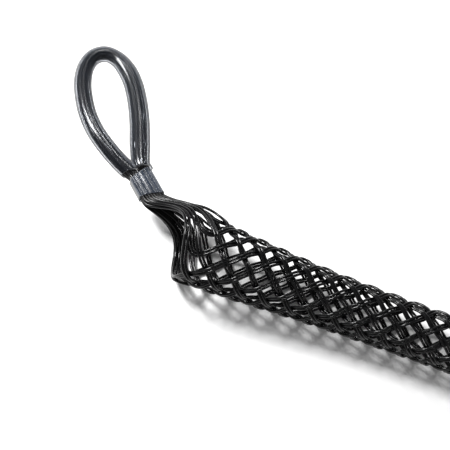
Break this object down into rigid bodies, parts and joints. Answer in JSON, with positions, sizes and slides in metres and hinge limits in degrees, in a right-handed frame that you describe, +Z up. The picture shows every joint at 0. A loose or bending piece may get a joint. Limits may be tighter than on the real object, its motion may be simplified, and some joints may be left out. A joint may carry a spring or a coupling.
{
  "type": "cable pulling grip",
  "caption": "Woven wire sleeve that tightens on a cable end, its strands gathered in a collar at one side of the mouth, with a tubed eye for the pulling line.",
  "frame": {"origin": "middle of the ground that the grip covers, on the ground", "axes": "+X along the woven sleeve from the mouth to the tail, +Y towards the side on which the eye lies, +Z up"},
  "size_m": [0.4534, 0.216, 0.0643],
  "materials": {
    "coated_wire": "glossy black coating over a steel wire strand, the strand's lay showing through",
    "clear_tube": "clear, slightly hazy flexible plastic, glossy"
  },
  "bodies": {
    "root": {"mesh_wire_1a": "coated_wire", "mesh_wire_1b": "coated_wire", "mesh_wire_2a": "coated_wire", "mesh_wire_2b": "coated_wire", "mesh_wire_3a": "coated_wire", "mesh_wire_3b": "coated_wire", "mesh_wire_4a": "coated_wire", "mesh_wire_4b": "coated_wire", "mesh_wire_5a": "coated_wire", "mesh_wire_5b": "coated_wire", "mesh_wire_6a": "coated_wire", "mesh_wire_6b": "coated_wire", "mesh_wire_7a": "coated_wire", "mesh_wire_7b": "coated_wire", "mesh_wire_8a": "coated_wire", "mesh_wire_8b": "coated_wire", "eye_wire_1_1": "coated_wire", "eye_wire_1_2": "coated_wire", "eye_wire_1_3": "coated_wire", "eye_wire_1_4": "coated_wire", "eye_wire_2_1": "coated_wire", "eye_wire_2_2": "coated_wire", "eye_wire_2_3": "coated_wire", "eye_wire_2_4": "coated_wire", "eye_wire_3_1": "coated_wire", "eye_wire_3_2": "coated_wire", "eye_wire_3_3": "coated_wire", "eye_wire_3_4": "coated_wire", "eye_wire_4_1": "coated_wire", "eye_wire_4_2": "coated_wire", "eye_wire_4_3": "coated_wire", "eye_wire_4_4": "coated_wire", "eye_sleeve": "clear_tube", "collar_sleeve": "clear_tube"}
  },
  "joints": []
}
